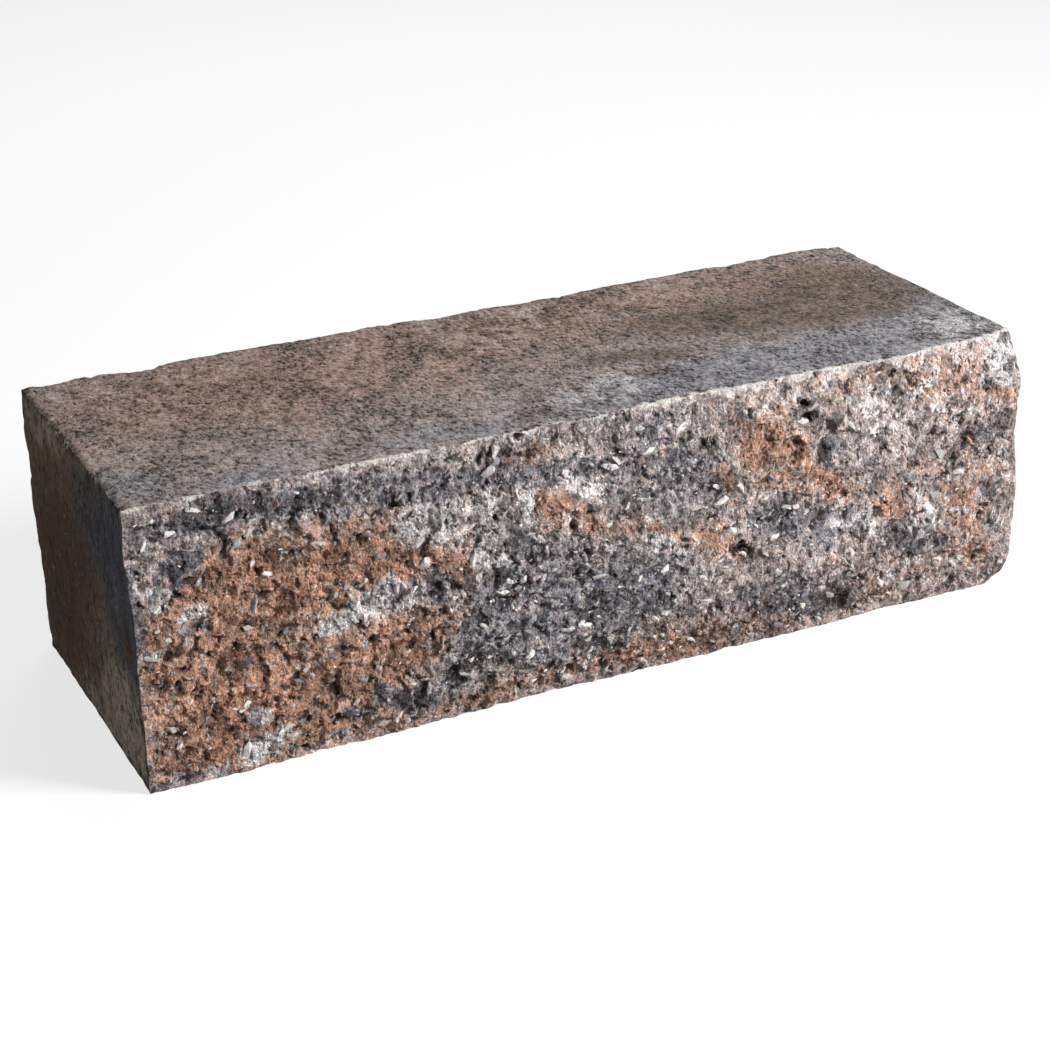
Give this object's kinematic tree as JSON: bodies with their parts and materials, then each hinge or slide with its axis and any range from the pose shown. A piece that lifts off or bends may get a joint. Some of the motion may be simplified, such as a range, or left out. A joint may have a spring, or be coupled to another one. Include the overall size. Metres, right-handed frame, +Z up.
{
  "type": "split-faced concrete wall block",
  "caption": "Long concrete wall block with flat moulded top, bottom and ends and rough split front and back faces.",
  "frame": {"origin": "middle of the bottom face, halfway between the front and back split lines", "axes": "+X along the block's length, -Y out of the front split face, +Z up"},
  "size_m": [0.4, 0.1576, 0.12],
  "materials": {
    "split_concrete": "matte pressed concrete, mottled brown, orange and blue-grey"
  },
  "bodies": {
    "root": {"wall_block": "split_concrete"}
  },
  "joints": []
}
